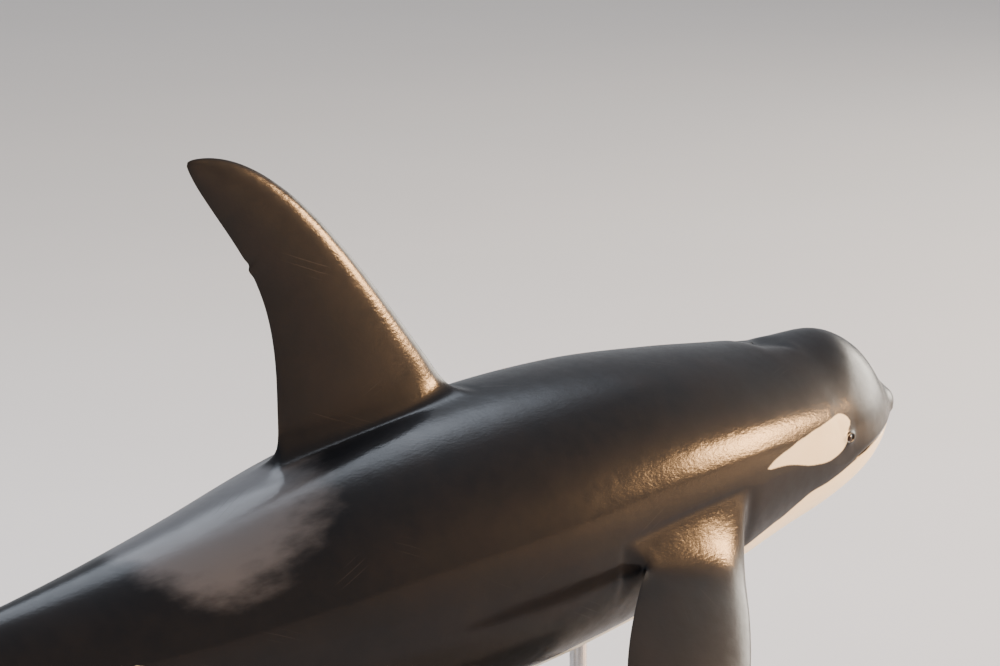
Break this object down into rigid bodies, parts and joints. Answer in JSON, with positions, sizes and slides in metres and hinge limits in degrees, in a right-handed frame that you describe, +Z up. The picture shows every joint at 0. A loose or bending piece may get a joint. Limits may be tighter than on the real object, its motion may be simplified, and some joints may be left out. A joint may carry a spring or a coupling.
{
  "type": "orca",
  "caption": "Life-size still model of an orca with a tall hooked back fin, head raised as if surfacing, held on a flat base by two upright rods.",
  "frame": {"origin": "centre of the underside of the stand's base, on the floor", "axes": "+X is where the orca's head points, +Y is the orca's left, +Z is up"},
  "size_m": [6.6103, 2.2678, 3.1973],
  "materials": {
    "dark_skin": "wet, glossy, very dark brown-black skin",
    "pale_skin": "wet, glossy, warm white skin",
    "eye": "dark brown, very glossy",
    "stand_base": "matt dark grey",
    "stand_rod": "brushed"
  },
  "bodies": {
    "root": {"head": "dark_skin", "lower_jaw": "pale_skin", "chest": "dark_skin", "midbody": "dark_skin", "tail_front": "dark_skin", "tail_stock": "dark_skin", "dorsal_fin": "dark_skin", "flipper_left": "dark_skin", "flipper_right": "dark_skin", "fluke_left": "dark_skin", "fluke_right": "dark_skin", "eye_left": "eye", "eye_right": "eye", "stand_base": "stand_base", "stand_rod_front": "stand_rod", "stand_rod_rear": "stand_rod"}
  },
  "joints": []
}
